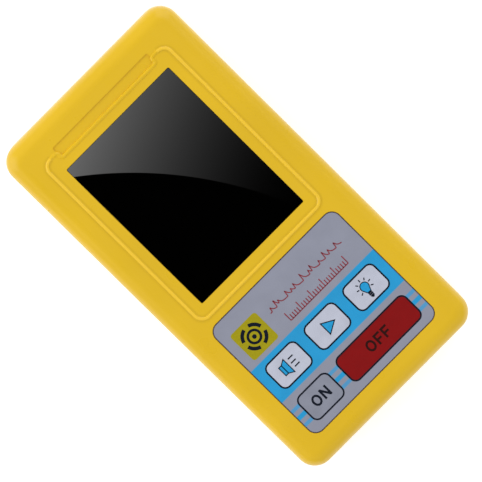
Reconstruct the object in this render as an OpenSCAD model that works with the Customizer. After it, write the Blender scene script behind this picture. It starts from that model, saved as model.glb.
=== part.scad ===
// Hand-held geiger counter, built as it comes apart on a bench: a moulded case in two
// halves, a display stack, a keypad, a counting tube, a circuit board and a battery bay.
// The counter lies on its back. +Z points out of the face, +Y to the display end, and the
// origin is at the middle of the back. Lengths are in millimetres.

/* [Case] */
// Width of the case
case_w = 70; // [69:0.5:80]
// Length of the case
case_l = 135.6; // [135:0.2:150]
// Height of the face above the back
face_h = 24.5; // [24:0.1:30]
// Radius of the case's corners, seen from the front
case_corner_r = 6.3; // [5.5:0.1:9]
// Radius of the soft edge round the face
face_edge_r = 5; // [3:0.1:5.4]
// Radius of the edge round the back
back_edge_r = 3.5; // [3:0.1:5]
// Thickness of the moulded walls
wall = 2.4; // [2.2:0.1:2.6]
// Height of the seam between the two halves
seam_h = 12; // [11:0.1:14]
// Width and depth of the shadow line along the seam
seam_groove = 0.35; // [0.2:0.05:0.6]
// Height of the rear half's locating lip
lip_h = 1.2; // [0.8:0.1:2]
// Thickness of the locating lip
lip_t = 1; // [0.8:0.05:1.1]

/* [Display] */
// Width of the display window
window_w = 43.5; // [40:0.5:45]
// Distance from the display end of the case to the window
window_top = 16.5; // [16:0.1:18]
// Distance from the window to the keypad overlay
window_low = 7.5; // [7:0.1:9]
// Thickness of the window
window_t = 1.2; // [0.8:0.1:1.3]
// Depth of the window's face below the face of the case
window_sink = 0.15; // [0.05:0.05:0.3]
// Width of the ledge that carries the window
window_ledge = 1.8; // [1.2:0.1:2.5]
// Thickness of the adhesive tape under the window
tape_t = 0.15; // [0.1:0.05:0.3]
// Thickness of the liquid crystal glass
lcd_glass_t = 2; // [1.6:0.1:2.2]
// Thickness of the backlight panel
backlight_t = 2.5; // [2:0.1:2.6]
// Thickness of the display's sheet-metal frame
lcd_frame_t = 0.4; // [0.3:0.05:0.5]

/* [Bead and bar] */
// Width of the raised bead round the display, where it leaves the face
bead_w = 1.2; // [1:0.05:1.3]
// Height of the bead above the face
bead_rise = 0.3; // [0.25:0.05:0.4]
// Distance from the bead's centreline to the side of the window
field_side = 4.25; // [3:0.05:4.5]
// Distance from the bead's centreline to the window's upper edge
field_above = 5.8; // [5.5:0.1:6.2]
// Distance from the bead's centreline to the window's lower edge
field_below = 4.3; // [3:0.1:5]
// Corner radius of the bead's centreline
field_corner_r = 3; // [2:0.1:4]
// Distance from the bead's side to the end of the sunk bar
bar_side = 5.8; // [5:0.1:9]
// Distance from the bead's centreline up to the sunk bar's upper edge
bar_above = 1.9; // [1.5:0.1:2.5]
// Depth of the sunk bar
bar_depth = 0.4; // [0.3:0.05:0.45]
// Drop of the bead where it passes below the sunk bar
bead_drop = 2.25; // [1.8:0.05:2.4]

/* [Keypad] */
// Width of the keypad overlay
label_w = 53; // [52:0.2:56]
// Length of the keypad overlay
label_l = 45.8; // [45:0.2:47]
// Corner radius of the keypad overlay
label_r = 3.2; // [2:0.1:5]
// Distance from the bottom end of the case to the overlay
label_low = 8.4; // [7:0.1:10]
// Thickness of the keypad overlay
label_t = 0.4; // [0.3:0.05:0.6]
// Depth of the overlay's face below the face of the case
label_sink = 0.1; // [0.05:0.05:0.2]
// Width of a single key
key_w = 13; // [12:0.1:14]
// Height of a key on the face
key_l = 9.8; // [9:0.1:10.5]
// Corner radius of a key
key_r = 2.2; // [1.5:0.1:3]
// Distance between the centres of neighbouring keys in a row
key_pitch_x = 16.6; // [16.4:0.1:17]
// Distance between the two rows of keys
key_pitch_y = 13.65; // [13.4:0.05:14]
// Distance from the overlay's top edge to the centre of the first row
key_row_top = 24.5; // [24:0.1:25]
// Width of the flange that holds a key inside the case
key_flange = 0.8; // [0.5:0.1:1]
// Thickness of a key's flange
key_flange_t = 0.8; // [0.6:0.1:1]
// Diameter of the stem under a key
key_stem_d = 4; // [3:0.1:5]
// Length of the stem under a key
key_stem_l = 0.6; // [0.4:0.1:0.9]

/* [Switches] */
// Side of a switch body
switch_w = 6; // [5:0.1:7]
// Height of a switch body
switch_body_h = 3.1; // [2.8:0.1:3.2]
// Height of a switch from the board to the top of its plunger
switch_h = 3.8; // [3.6:0.1:4.2]
// Diameter of a switch plunger
plunger_d = 3.4; // [2.5:0.1:4]
// Depth of the plunger inside the switch body
plunger_depth = 0.9; // [0.6:0.1:1.2]

/* [Circuit board] */
// Gap between the circuit board and the sides of the case
board_side_gap = 2.1; // [1.8:0.1:2.6]
// Gap between the circuit board and the ends of the case
board_end_gap = 2.9; // [2.4:0.1:3.4]
// Thickness of the circuit board
board_t = 1.6; // [1.2:0.1:1.8]
// Width of the notch that clears a corner boss
notch_w = 9.5; // [9:0.1:10.5]
// Length of the notch that clears a corner boss
notch_l = 8; // [7:0.1:9]
// Diameter of the buzzer
buzzer_d = 12; // [9:0.1:14]
// Height of the buzzer
buzzer_h = 8.5; // [6:0.1:9.5]

/* [Counting tube] */
// Diameter of the counting tube
tube_d = 10; // [8:0.1:10.4]
// Gap between the counting tube's tip and the corner boss beside it
tube_end_gap = 3.7; // [2:0.1:10]
// Gap between the counting tube and the battery bay
tube_side_gap = 1; // [0.9:0.1:2.5]
// Diameter of the end caps that the clips hold
cap_d = 6.2; // [5:0.1:7]
// Length of an end cap
cap_l = 6; // [5:0.1:6.5]
// Height of the tube's axis above the back
tube_h = 8; // [7.8:0.1:8.3]
// Thickness of the clips' spring strip
clip_t = 0.5; // [0.4:0.05:0.6]

/* [Battery bay] */
// Diameter of a battery cell
cell_d = 10.5; // [10:0.1:10.6]
// Length of a battery cell with its button
cell_l = 44.5; // [40:0.1:45]
// Number of battery cells
cell_count = 3; // [3:1:3]
// Length of the contact springs with the cells in
spring_l = 3.6; // [3:0.1:4.5]
// Thickness of the spring wire
spring_wire = 0.5; // [0.4:0.05:0.6]
// Thickness of the contact plates
contact_t = 0.4; // [0.3:0.05:0.6]
// Thickness of the bay's walls
bay_wall = 1.2; // [1:0.1:1.3]
// Thickness of the battery door
door_t = 2; // [1.8:0.1:2.2]
// Width of the door's face beyond the bay on each side
door_side = 1.2; // [1:0.1:1.5]
// Width of the tongues that run in the case's grooves
tongue_w = 1.2; // [0.8:0.1:1.5]
// Height of the door where it wraps round the end of the case
door_end_h = 7; // [5:0.1:9]
// Depth of the door's face below the back of the case
door_sink = 0.1; // [0.05:0.05:0.2]

/* [Screws] */
// Thread diameter of the case screws
case_screw_d = 2.9; // [2.5:0.1:3]
// Length of the case screws under the head
case_screw_l = 16; // [13:0.5:17]
// Head diameter of the case screws
case_head_d = 5.4; // [5:0.1:5.6]
// Head height of the case screws
case_head_h = 1.8; // [1.5:0.1:2]
// Diameter of the screw bosses in the corners
boss_d = 7.6; // [7.4:0.1:8]
// Distance of a case screw from the side of the case
screw_inset = 7.6; // [7.3:0.1:8]
// Thread diameter of the board screws
board_screw_d = 2.2; // [2:0.1:2.6]
// Length of the board screws under the head
board_screw_l = 5; // [4:0.1:5.5]
// Diameter of the posts that carry the board
post_d = 5; // [4.6:0.1:5.2]

/* [Fits] */
// Gap round a piece that is dropped into its place
seat_gap = 0.15; // [0.1:0.01:0.2]
// Gap round a piece that slides
slide_gap = 0.1; // [0.08:0.01:0.15]
// Gap between neighbouring faces that rest on each other
rest_gap = 0.05; // [0.02:0.01:0.08]

/* [Hidden] */
$fn = 48;

// Cutting shapes reach this far past what they cut
over = 1;
// A shape that is joined to another one reaches this far into it
bite = 0.4;

// Ends of the case, and distances measured from them
end_y = case_l / 2;
window_l = case_l - window_top - window_low - label_l - label_low;
window_y = end_y - window_top - window_l / 2;
field_w = window_w + 2 * field_side;
field_l = window_l + field_above + field_below;
field_y = window_y + (field_above - field_below) / 2;
label_y = -end_y + label_low + label_l / 2;
inner_face_h = face_h - wall;

// Display stack, from the face down to the board
window_seat_h = face_h - window_sink - window_t - tape_t;
lcd_overlap = 0.8;
sight_w = window_w - 2 * window_ledge;
sight_l = window_l - 2 * window_ledge;
lcd_w = sight_w + 2 * lcd_overlap;
lcd_l = sight_l + 2 * lcd_overlap;
lcd_frame_w = lcd_w + 2 * (lcd_frame_t + slide_gap);
lcd_frame_l = lcd_l + 2 * (lcd_frame_t + slide_gap);
pin_count = 16;
pin_pitch = 2;
pin_w = 0.5;
pin_tail = 0.5;
pin_y = window_y - lcd_l / 2 + 1;

// Keys: name, column and row of the centre, number of columns that the key spans
KEYS = [["sound", -1, 0, 1], ["play", 0, 0, 1], ["light", 1, 0, 1],
        ["on", -1, 1, 1], ["off", 0.5, 1, 2]];
function key_place(key) =
    [key[1] * key_pitch_x, label_y + label_l / 2 - key_row_top - key[2] * key_pitch_y];
function key_span(key) = key_w + (key[3] - 1) * key_pitch_x;
leg_w = 0.7;
leg_gap = 4.5;
leg_tail = 0.4;
plunger_room = 0.4;
label_face_h = face_h - label_sink;
pocket_h = label_face_h - label_t;
flange_top_h = inner_face_h - rest_gap;
stem_end_h = flange_top_h - key_flange_t - key_stem_l;

// Board, hung under the face so that each switch meets its key
board_top_h = stem_end_h - switch_h;
board_low_h = board_top_h - board_t;
board_w = case_w - 2 * (wall + board_side_gap);
board_l = case_l - 2 * (wall + board_end_gap);
post_bore_d = board_screw_d + 0.6;
board_head_d = 2 * board_screw_d;
board_head_h = 1.4;

// Posts stand beyond the display's ends: the upper pair between the corner bosses, the
// lower pair beside the battery bay's end
post_reach = post_d / 2 + 1.2;
POSTS = [[board_w / 2 - notch_w - post_d / 2, window_y + lcd_frame_l / 2 + post_reach],
         [board_w / 2 - post_d, window_y - lcd_frame_l / 2 - post_reach]];

// Case screws and their bosses
boss_x = case_w / 2 - screw_inset;
boss_y = end_y - screw_inset;
screw_seat_h = 4;
counterbore_d = case_head_d + 0.8;
screw_hole_d = case_screw_d + 0.4;
pilot_spare = 0.5;
web_t = 1.2;

// Battery bay, from the bottom end of the case up
cell_gap = 0.3;
bay_end_gap = 3.6;
bay_w = cell_count * cell_d + (cell_count + 1) * cell_gap;
bay_l = cell_l + spring_l + 2 * contact_t;
bay_low_y = -end_y + wall + bay_end_gap;
bay_high_y = bay_low_y + bay_l;
door_top_z = door_sink + door_t;
cell_h = door_top_z + seat_gap + cell_d / 2;
bay_top_h = cell_h + cell_d / 2 + seat_gap;
tongue_t = door_t / 2;
tongue_h = door_top_z - tongue_t;
door_w = bay_w + 2 * door_side;
rail_w = door_side + tongue_w + 1.6;
rail_h = door_top_z + 1.6;
tab_w = 6;
tab_l = 2;
button_d = 3.8;
button_h = 0.8;
contact_w = 8.6;
contact_h = 8;
contact_tab_w = 2.4;
spring_turns = 3.5;
spring_wide_r = 3.4;
spring_narrow_r = 2.2;

// Counting tube, beside the battery bay
tube_x = -(bay_w / 2 + bay_wall + tube_side_gap + tube_d / 2);
cap_tip_l = 1.2;
tube_l = 2 * (boss_y - boss_d / 2 - tube_end_gap - cap_l - cap_tip_l);
cap_y = tube_l / 2 + cap_l / 2;
slot_w = 1.6;
slot_l = 9;
slot_pitch = 4.2;
slot_count = 9;
sound_hole_d = 1.6;

// Parts on the underside of the board, between the battery bay and the display end
transformer_w = 13;
pin_room = 0.4;
sounder_y = pin_y + pin_w / 2 + pin_room + transformer_w / 2;
buzzer_x = 16;
transformer_h = 9;
transformer_x = -6;
transformer_leg = 3;
chip_w = 10;
chip_t = 1.4;
chip_x = 4;
chip_end_gap = 16;
chip_lift = 0.1;
lead_pitch = 1;
lead_count = 8;
lead_l = 1;
chip_y = board_l / 2 - chip_end_gap - chip_w / 2 - lead_l;
lead_w = 0.4;
lead_h = 0.6;
crystal_w = 11;
crystal_l = 4.6;
crystal_h = 3.5;
crystal_x = 18;
crystal_y = chip_y + 4;
capacitor_d = 6.3;
capacitor_h = 9;
capacitor_x = 20;
capacitor_pitch = capacitor_d + 1.5;
capacitor_y = chip_y - 2 * chip_w + capacitor_d;

// ---------- shapes that several pieces share ----------

// Rectangle with true round corners
module rounded_rect(w, l, r) {
    square([w - 2 * r, l], center = true);
    square([w, l - 2 * r], center = true);
    for (x = [-1, 1], y = [-1, 1])
        translate([x * (w / 2 - r), y * (l / 2 - r)])
            circle(r);
}

module rounded_plate(w, l, r, t) {
    linear_extrude(t)
        rounded_rect(w, l, r);
}

// Outline of the case, moved inwards by an inset
module case_plate(inset, t) {
    rounded_plate(case_w - 2 * inset, case_l - 2 * inset, case_corner_r - inset, t);
}

module quarter_disc(r) {
    intersection() {
        circle(r);
        square(r);
    }
}

// Section through the case's side: a wall of a given reach with a soft edge at each end
module side_profile(reach, height, top_r, low_r) {
    translate([0, low_r])
        square([reach, height - top_r - low_r]);
    translate([0, height - top_r])
        square([reach - top_r, top_r]);
    square([reach - low_r, low_r]);
    translate([reach - top_r, height - top_r])
        quarter_disc(top_r);
    translate([reach - low_r, low_r])
        mirror([0, 1])
            quarter_disc(low_r);
}

// The case as one solid, moved inwards by an inset: the side profile is carried along
// four straight sides and round four corners, about a plain block
module case_blank(inset) {
    reach = case_corner_r - inset;
    half_w = case_w / 2 - case_corner_r;
    half_l = case_l / 2 - case_corner_r;
    height = face_h - 2 * inset;
    top_r = max(face_edge_r - inset, 0.3);
    low_r = max(back_edge_r - inset, 0.3);
    translate([0, 0, inset]) {
        translate([-half_w, -half_l, 0])
            cube([2 * half_w, 2 * half_l, height]);
        for (turn = [0, 180])
            rotate(turn) {
                translate([half_w, half_l, 0])
                    rotate([90, 0, 0])
                        linear_extrude(2 * half_l)
                            side_profile(reach, height, top_r, low_r);
                translate([-half_w, half_l, 0])
                    rotate([90, 0, 90])
                        linear_extrude(2 * half_w)
                            side_profile(reach, height, top_r, low_r);
                translate([half_w, half_l, 0])
                    rotate_extrude(angle = 90)
                        side_profile(reach, height, top_r, low_r);
                translate([-half_w, half_l, 0])
                    rotate(90)
                        rotate_extrude(angle = 90)
                            side_profile(reach, height, top_r, low_r);
            }
    }
}

// Box between two heights, wider than the case
module slab(low, high) {
    translate([-case_w, -case_l, low])
        cube([2 * case_w, 2 * case_l, high - low]);
}

// Everything between two heights that lies outside the case's outline
module outside_case(inset, low, high) {
    translate([0, 0, low])
        difference() {
            case_plate(-over, high - low);
            translate([0, 0, -over])
                case_plate(inset, high - low + 2 * over);
        }
}

module at_corners(x, y) {
    for (side = [-1, 1], end = [-1, 1])
        translate([side * x, end * y, 0])
            children();
}

module at_pins() {
    for (i = [0 : pin_count - 1])
        translate([(i - (pin_count - 1) / 2) * pin_pitch, pin_y, 0])
            children();
}

module at_legs(key) {
    for (side = [-1, 1], end = [-1, 1])
        translate([key_place(key)[0] + side * (switch_w - leg_w) / 2,
                   key_place(key)[1] + end * leg_gap / 2, 0])
            children();
}

module at_posts() {
    for (side = [-1, 1], post = POSTS)
        translate([side * post[0], post[1], 0])
            children();
}

// Web from a corner boss at the origin to the walls beside it
module boss_webs(side, end, low, high) {
    reach = screw_inset - wall + bite;
    translate([side > 0 ? 0 : -reach, -web_t / 2, low])
        cube([reach, web_t, high - low]);
    translate([-web_t / 2, end > 0 ? 0 : -reach, low])
        cube([web_t, reach, high - low]);
}

// The bead is the top of a round bar sunk into the face, so it leaves the face in a slope
bead_r = (pow(bead_w / 2, 2) + pow(bead_rise, 2)) / (2 * bead_rise);

// Round bar along steps of [straight length, turn, bend radius], from the origin along +X.
// A turn is 90, -90 or, at the end, 0 degrees
module bead_run(steps, i = 0) {
    if (i < len(steps)) {
        length = steps[i][0];
        turn = steps[i][1];
        bend_r = steps[i][2];
        side = sign(turn);
        rotate([0, 90, 0])
            cylinder(r = bead_r, h = length);
        if (turn != 0) {
            translate([length, side * bend_r, 0])
                rotate(turn > 0 ? -90 : 0)
                    rotate_extrude(angle = 90)
                        translate([bend_r, 0])
                            circle(bead_r, $fn = 24);
            translate([length + bend_r, side * bend_r, 0])
                rotate(turn)
                    bead_run(steps, i + 1);
        }
    }
}

// ---------- case ----------

bead_bar_y = field_y + field_l / 2 - bead_drop;
bar_low_y = bead_bar_y + bead_w / 4;
bar_w = field_w - 2 * bar_side;
bar_l = bead_drop + bar_above - bead_w / 4;
bend_r = 0.9;
bar_corner_r = 0.5;
bar_run = bar_w / 2 - bend_r;

module display_bead() {
    steps = [[bar_run, 90, bend_r],
             [bead_drop - 2 * bend_r, -90, bend_r],
             [field_w / 2 - field_corner_r - bar_run - 2 * bend_r, -90, field_corner_r],
             [field_l - 2 * field_corner_r, -90, field_corner_r],
             [field_w / 2 - field_corner_r, 0, 0]];
    translate([0, bead_bar_y, face_h + bead_rise - bead_r])
        for (half = [0, 1])
            mirror([half, 0, 0])
                bead_run(steps);
}

module key_holes(low, high) {
    for (key = KEYS)
        translate([key_place(key)[0], key_place(key)[1], low])
            rounded_plate(key_span(key) + 2 * slide_gap, key_l + 2 * slide_gap,
                          key_r + slide_gap, high - low);
}

module front_shell() {
    boss_top = inner_face_h + bite;
    color("gold")
        difference() {
            union() {
                difference() {
                    case_blank(0);
                    difference() {
                        case_blank(wall);
                        // Corner bosses, cut from the hollow so that they stay solid
                        for (side = [-1, 1], end = [-1, 1])
                            translate([side * boss_x, end * boss_y, 0]) {
                                cylinder(d = boss_d, h = boss_top);
                                boss_webs(side, end, seam_h + lip_h + rest_gap, boss_top);
                            }
                        at_posts()
                            translate([0, 0, board_top_h])
                                cylinder(d = post_d, h = boss_top - board_top_h);
                    }
                    slab(-over, seam_h);
                    // Sunk bar above the display
                    translate([0, bar_low_y + bar_l / 2, face_h - bar_depth])
                        rounded_plate(bar_w, bar_l, bar_corner_r, bar_depth + over);
                }
                display_bead();
            }
            // Rebate for the rear half's lip
            translate([0, 0, seam_h - over])
                difference() {
                    case_plate(wall - lip_t - slide_gap, over + lip_h + rest_gap);
                    case_plate(wall + bite, over + lip_h + rest_gap);
                }
            // Seat and sight opening of the window
            translate([0, window_y, window_seat_h])
                rounded_plate(window_w + 2 * seat_gap, window_l + 2 * seat_gap, 0.5,
                              face_h - window_seat_h + over);
            translate([-sight_w / 2, window_y - sight_l / 2, inner_face_h - over])
                cube([sight_w, sight_l, wall + over]);
            // Pocket of the keypad overlay, with a hole for each key
            translate([0, label_y, pocket_h])
                rounded_plate(label_w + 2 * seat_gap, label_l + 2 * seat_gap,
                              label_r + seat_gap, face_h - pocket_h + over);
            key_holes(inner_face_h - over, face_h);
            // Screw bores in the bosses and in the posts
            at_corners(boss_x, boss_y)
                translate([0, 0, seam_h - over])
                    cylinder(d = case_screw_d + rest_gap,
                             h = screw_seat_h + case_screw_l + pilot_spare - seam_h + over);
            at_posts()
                translate([0, 0, board_top_h - over])
                    cylinder(d = board_screw_d + rest_gap,
                             h = board_screw_l - board_t + pilot_spare / 2 + over);
        }
}

module battery_box() {
    translate([-bay_w / 2 - bay_wall, bay_low_y - bay_wall, wall - bite])
        cube([bay_w + 2 * bay_wall, bay_l + 2 * bay_wall, bay_top_h + bay_wall - wall + bite]);
    for (side = [0, 1])
        mirror([side, 0, 0])
            translate([bay_w / 2, -end_y + wall - bite, wall - bite])
                cube([rail_w, bay_high_y + bay_wall + end_y - wall + bite, rail_h - wall + bite]);
}

// Space for the battery door: its face, tongues, end and tabs, each with its clearance
module door_space() {
    half = door_w / 2 + slide_gap;
    top_y = bay_high_y + slide_gap;
    translate([-half, -end_y - over, -over])
        cube([2 * half, end_y + over + top_y, door_top_z + slide_gap + over]);
    translate([-half - tongue_w, -end_y - over, tongue_h - slide_gap])
        cube([2 * (half + tongue_w), end_y + over + top_y, tongue_t + 2 * slide_gap]);
    translate([-half, -end_y - over, -over])
        cube([2 * half, wall + over + slide_gap, door_end_h + slide_gap + over]);
    // The inside of the door's bend stands higher than the rest of the door
    translate([-half, -end_y - over, -over])
        cube([2 * half, over + back_edge_r + slide_gap, over + back_edge_r + slide_gap]);
    for (side = [-1, 1])
        translate([side * door_w / 4 - tab_w / 2 - slide_gap, bay_high_y, tongue_h - slide_gap])
            cube([tab_w + 2 * slide_gap, tab_l + slide_gap, tongue_t + 2 * slide_gap]);
}

module rear_shell() {
    color("gold")
        difference() {
            union() {
                difference() {
                    case_blank(0);
                    difference() {
                        case_blank(wall);
                        for (side = [-1, 1], end = [-1, 1])
                            translate([side * boss_x, end * boss_y, 0]) {
                                cylinder(d = boss_d, h = seam_h);
                                boss_webs(side, end, 0, seam_h - lip_h);
                            }
                    }
                    // Above the seam only the inner part of the wall stands on, as the lip
                    // that locates the front half
                    slab(seam_h + lip_h, face_h + over);
                    outside_case(wall - lip_t, seam_h, face_h + over);
                    // Shadow line along the seam
                    outside_case(seam_groove, seam_h - seam_groove, seam_h);
                }
                battery_box();
            }
            translate([-bay_w / 2, bay_low_y, -over])
                cube([bay_w, bay_l, bay_top_h + over]);
            door_space();
            // Notches where the contact plates rise to the board
            for (end = [0, 1])
                contact_riser(end, slide_gap);
            at_corners(boss_x, boss_y) {
                translate([0, 0, -over])
                    cylinder(d = counterbore_d, h = screw_seat_h + over);
                cylinder(d = screw_hole_d, h = seam_h + over);
            }
            // Slots in front of the counting tube
            for (i = [0 : slot_count - 1])
                translate([tube_x, (i - (slot_count - 1) / 2) * slot_pitch, -over])
                    rounded_plate(slot_l, slot_w, slot_w / 2 - 0.01, wall + 2 * over);
            // Holes in front of the buzzer
            translate([buzzer_x, sounder_y, -over]) {
                cylinder(d = sound_hole_d, h = wall + 2 * over);
                for (turn = [0 : 60 : 300])
                    rotate(turn)
                        translate([2 * sound_hole_d, 0, 0])
                            cylinder(d = sound_hole_d, h = wall + 2 * over);
            }
        }
}

module battery_door() {
    grip_count = 5;
    grip_pitch = 1.8;
    color("gold")
        difference() {
            union() {
                intersection() {
                    difference() {
                        case_blank(door_sink);
                        case_blank(door_sink + door_t);
                    }
                    translate([-door_w / 2, -end_y - over, 0])
                        cube([door_w, bay_high_y + end_y + over, door_end_h]);
                }
                // Tongues along both sides and tabs at the inner end
                translate([-door_w / 2 - tongue_w, -end_y + back_edge_r, tongue_h])
                    cube([door_w + 2 * tongue_w, bay_high_y + end_y - back_edge_r, tongue_t]);
                for (side = [-1, 1])
                    translate([side * door_w / 4 - tab_w / 2, bay_high_y - bite, tongue_h])
                        cube([tab_w, tab_l + bite, tongue_t]);
            }
            // Thumb grip
            for (i = [0 : grip_count - 1])
                translate([-7, bay_high_y - 6 - i * grip_pitch, -over])
                    cube([14, 0.9, over + door_sink + 0.5]);
        }
}

module case_screws() {
    color("silver")
        at_corners(boss_x, boss_y)
            translate([0, 0, screw_seat_h])
                screw(case_screw_d, case_screw_l, case_head_d, case_head_h);
}

// Pan-head screw that points up, with the underside of its head at the origin
module screw(thread_d, length, head_d, head_h) {
    slot = head_d / 6;
    difference() {
        union() {
            cylinder(d = thread_d, h = length - thread_d / 2);
            translate([0, 0, length - thread_d / 2])
                cylinder(d1 = thread_d, d2 = thread_d / 4, h = thread_d / 2);
            translate([0, 0, -head_h])
                cylinder(d1 = 0.8 * head_d, d2 = head_d, h = head_h / 3);
            translate([0, 0, -2 * head_h / 3])
                cylinder(d = head_d, h = 2 * head_h / 3);
        }
        for (turn = [0, 90])
            rotate(turn)
                translate([-head_d / 4, -slot / 2, -head_h - over])
                    cube([head_d / 2, slot, over + head_h / 2]);
    }
}

// ---------- display ----------

module display_window() {
    color("black")
        translate([0, window_y, window_seat_h + tape_t])
            rounded_plate(window_w, window_l, 0.4, window_t);
}

module window_tape() {
    color("dimgray")
        translate([0, window_y, window_seat_h])
            difference() {
                rounded_plate(window_w, window_l, 0.4, tape_t);
                translate([-sight_w / 2, -sight_l / 2, -over])
                    cube([sight_w, sight_l, tape_t + 2 * over]);
            }
}

backlight_h = board_top_h + rest_gap;
glass_h = backlight_h + backlight_t;
frame_top_h = glass_h + lcd_glass_t + lcd_frame_t;

module lcd_frame() {
    foot_w = 3;
    color("silver")
        translate([0, window_y, board_top_h])
            difference() {
                translate([-lcd_frame_w / 2, -lcd_frame_l / 2, 0])
                    cube([lcd_frame_w, lcd_frame_l, frame_top_h - board_top_h]);
                translate([-lcd_w / 2 - slide_gap, -lcd_l / 2 - slide_gap, -over])
                    cube([lcd_w + 2 * slide_gap, lcd_l + 2 * slide_gap,
                          over + frame_top_h - board_top_h - lcd_frame_t]);
                translate([-sight_w / 2, -sight_l / 2, 0])
                    cube([sight_w, sight_l, frame_top_h]);
                // Gaps between the feet along both sides
                for (y = [-1, 0, 1])
                    translate([-lcd_frame_w, y * lcd_frame_l / 4 - 6, -over])
                        cube([2 * lcd_frame_w, 12, over + foot_w / 2]);
            }
}

module lcd_glass() {
    color("darkslategray")
        translate([-lcd_w / 2, window_y - lcd_l / 2, glass_h])
            cube([lcd_w, lcd_l, lcd_glass_t]);
}

module backlight_panel() {
    color("white")
        translate([-lcd_w / 2, window_y - lcd_l / 2 + 2, backlight_h])
            cube([lcd_w, lcd_l - 2, backlight_t - rest_gap]);
}

// One row of pins from the glass's lower edge through the board
module lcd_pins() {
    color("silver")
        at_pins()
            translate([-pin_w / 2, -pin_w / 2, board_low_h - pin_tail])
                cube([pin_w, pin_w, glass_h - board_low_h + pin_tail]);
}

// ---------- keypad ----------

module keypad_overlay() {
    color("slategray")
        difference() {
            translate([0, label_y, pocket_h])
                rounded_plate(label_w, label_l, label_r, label_t);
            key_holes(pocket_h - over, label_face_h + over);
        }
}

// Key with a cap that fills its hole, a flange that holds it in and a stem
module keycap(key, paint) {
    color(paint)
        translate([key_place(key)[0], key_place(key)[1], 0]) {
            translate([0, 0, flange_top_h])
                rounded_plate(key_span(key), key_l, key_r, label_face_h - flange_top_h);
            translate([0, 0, flange_top_h - key_flange_t])
                rounded_plate(key_span(key) + 2 * key_flange, key_l + 2 * key_flange,
                              key_r + key_flange, key_flange_t);
            translate([0, 0, stem_end_h])
                cylinder(d = key_stem_d, h = key_stem_l);
        }
}

module plunger(key) {
    low = switch_body_h - plunger_depth;
    color("dimgray")
        translate([key_place(key)[0], key_place(key)[1], board_top_h + low])
            cylinder(d = plunger_d, h = switch_h - low);
}

module switch_bodies() {
    color("darkgray")
        for (key = KEYS) {
            translate([key_place(key)[0], key_place(key)[1], board_top_h])
                difference() {
                    translate([-switch_w / 2, -switch_w / 2, 0])
                        cube([switch_w, switch_w, switch_body_h]);
                    translate([0, 0, switch_body_h - plunger_depth - plunger_room])
                        cylinder(d = plunger_d + 2 * slide_gap, h = switch_h);
                }
            at_legs(key)
                translate([-leg_w / 2, -leg_w / 2, board_low_h - leg_tail])
                    cube([leg_w, leg_w, board_t + leg_tail + bite]);
        }
}

// ---------- circuit board ----------

module board_outline() {
    difference() {
        square([board_w, board_l], center = true);
        // Notches round the corner bosses
        for (side = [0, 1], end = [0, 1])
            mirror([side, 0])
                mirror([0, end])
                    translate([board_w / 2 - notch_w, board_l / 2 - notch_l])
                        square([notch_w + over, notch_l + over]);
    }
}

module main_board() {
    color("darkgreen")
        difference() {
            translate([0, 0, board_low_h])
                linear_extrude(board_t)
                    board_outline();
            at_posts()
                translate([0, 0, board_low_h - over])
                    cylinder(d = post_bore_d, h = board_t + 2 * over);
            at_pins()
                translate([0, 0, board_low_h - over])
                    cylinder(d = 1.5 * pin_w + 2 * slide_gap, h = board_t + 2 * over, $fn = 16);
            for (key = KEYS)
                at_legs(key)
                    translate([0, 0, board_low_h - over])
                        cylinder(d = 1.5 * leg_w + slide_gap, h = board_t + 2 * over, $fn = 16);
        }
}

module board_screws() {
    color("silver")
        at_posts()
            translate([0, 0, board_low_h])
                screw(board_screw_d, board_screw_l, board_head_d, board_head_h);
}

module microcontroller() {
    color("dimgray")
        translate([chip_x, chip_y, board_low_h]) {
            translate([-chip_w / 2, -chip_w / 2, -chip_t])
                cube([chip_w, chip_w, chip_t - chip_lift]);
            for (turn = [0 : 90 : 270], i = [0 : lead_count - 1])
                rotate(turn)
                    translate([chip_w / 2 - bite,
                               (i - (lead_count - 1) / 2) * lead_pitch - lead_w / 2, -lead_h])
                        cube([lead_l + bite, lead_w, lead_h]);
        }
}

module crystal() {
    color("silver")
        translate([crystal_x, crystal_y, board_low_h - crystal_h])
            rounded_plate(crystal_w, crystal_l, 0.48 * crystal_l, crystal_h);
}

// Ferrite core with an open window on both sides and the winding on its middle
module hv_transformer() {
    window_h = transformer_h - 2 * transformer_leg + 2;
    base_t = (transformer_h - window_h) / 2;
    winding_d = transformer_w - 2 * transformer_leg - 0.6;
    color("saddlebrown")
        translate([transformer_x, sounder_y, board_low_h - transformer_h]) {
            difference() {
                translate([-transformer_w / 2, -transformer_w / 2, 0])
                    cube([transformer_w, transformer_w, transformer_h]);
                translate([-transformer_w / 2 + transformer_leg, -transformer_w, base_t])
                    cube([transformer_w - 2 * transformer_leg, 2 * transformer_w, window_h]);
            }
            translate([0, 0, base_t - bite])
                cylinder(d = winding_d, h = window_h + 2 * bite);
        }
}

module hv_capacitors() {
    color("navy")
        for (i = [0, 1])
            translate([capacitor_x, capacitor_y + i * capacitor_pitch, board_low_h - capacitor_h])
                cylinder(d = capacitor_d, h = capacitor_h);
}

module buzzer() {
    color("black")
        translate([buzzer_x, sounder_y, board_low_h - buzzer_h])
            difference() {
                cylinder(d = buzzer_d, h = buzzer_h);
                translate([0, 0, -over])
                    cylinder(d = 2, h = over + 1.5);
            }
}

// ---------- counting tube ----------

module along_tube() {
    translate([tube_x, 0, tube_h])
        rotate([-90, 0, 0])
            children();
}

module counting_tube() {
    color("lightsteelblue")
        along_tube()
            translate([0, 0, -tube_l / 2])
                cylinder(d = tube_d, h = tube_l);
}

module tube_end_caps() {
    color("peru")
        for (end = [0, 1])
            along_tube()
                mirror([0, 0, end])
                    translate([0, 0, tube_l / 2]) {
                        cylinder(d = cap_d, h = cap_l);
                        translate([0, 0, cap_l])
                            cylinder(d1 = cap_d / 2, d2 = cap_d / 4, h = cap_tip_l);
                    }
}

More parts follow.
